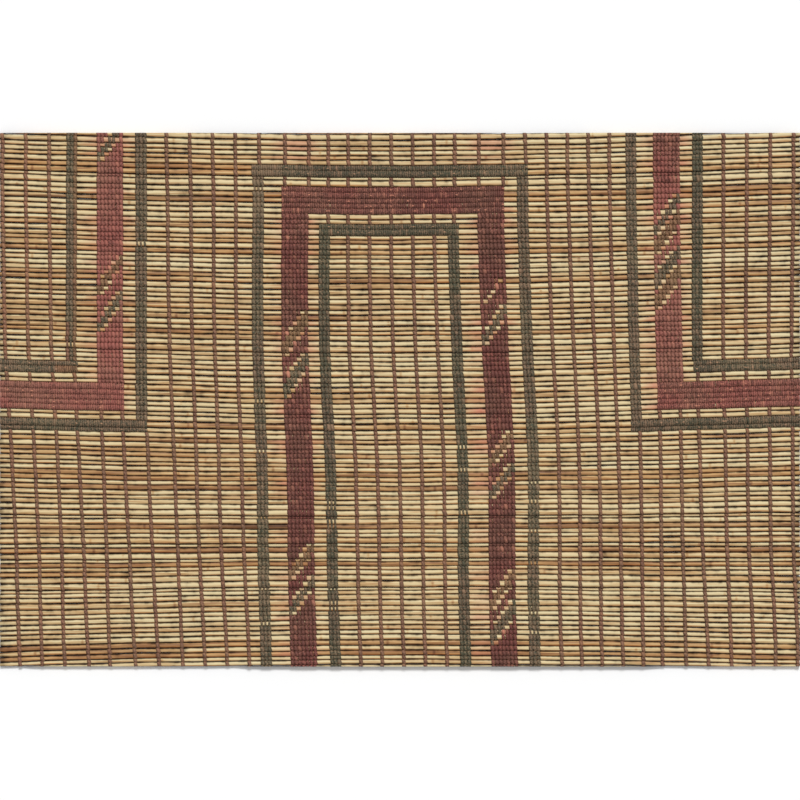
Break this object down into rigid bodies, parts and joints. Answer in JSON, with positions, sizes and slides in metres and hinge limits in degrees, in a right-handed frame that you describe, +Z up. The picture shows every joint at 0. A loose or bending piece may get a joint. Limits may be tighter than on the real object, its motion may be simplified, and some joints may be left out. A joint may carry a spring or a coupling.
{
  "type": "reed mat with leather bands, cut length",
  "caption": "Flat cut length of a mat of whole grass stems side by side, bound by twined leather laces, with nested green and red leather bands.",
  "frame": {"origin": "middle of the mat, on the flat underside that it rests on", "axes": "+X along the stems, to the picture's right; +Y to the picture's upper edge; +Z up, out of the face"},
  "size_m": [0.6, 0.403, 0.0061],
  "materials": {
    "reed_straw": "dry grass stems, satin, straw to brown",
    "lace_leather": "matt purplish brown leather strip, twined",
    "green_leather": "matt faded dark green leather strip, twined",
    "red_leather": "matt faded dark red leather strip, twined"
  },
  "bodies": {
    "root": {"reed_field": "reed_straw", "lace_01": "lace_leather", "lace_02": "lace_leather", "lace_03": "lace_leather", "lace_04": "lace_leather", "lace_05": "lace_leather", "lace_06": "lace_leather", "lace_07": "lace_leather", "lace_08": "lace_leather", "lace_09": "lace_leather", "lace_10": "lace_leather", "lace_11": "lace_leather", "lace_12": "lace_leather", "lace_13": "lace_leather", "lace_14": "lace_leather", "lace_15": "lace_leather", "lace_16": "lace_leather", "lace_17": "lace_leather", "lace_18": "lace_leather", "lace_19": "lace_leather", "lace_20": "lace_leather", "lace_21": "lace_leather", "lace_22": "lace_leather", "lace_23": "lace_leather", "lace_24": "lace_leather", "lace_25": "lace_leather", "lace_26": "lace_leather", "lace_27": "lace_leather", "lace_28": "lace_leather", "lace_29": "lace_leather", "lace_30": "lace_leather", "lace_31": "lace_leather", "lace_32": "lace_leather", "lace_33": "lace_leather", "lace_34": "lace_leather", "lace_35": "lace_leather", "lace_36": "lace_leather", "band_arch_outer": "green_leather", "band_arch_red": "red_leather", "band_arch_inner": "green_leather", "band_left_outer": "green_leather", "band_left_red": "red_leather", "band_left_inner": "green_leather", "band_right_outer": "green_leather", "band_right_red": "red_leather", "band_right_inner": "green_leather"}
  },
  "joints": []
}
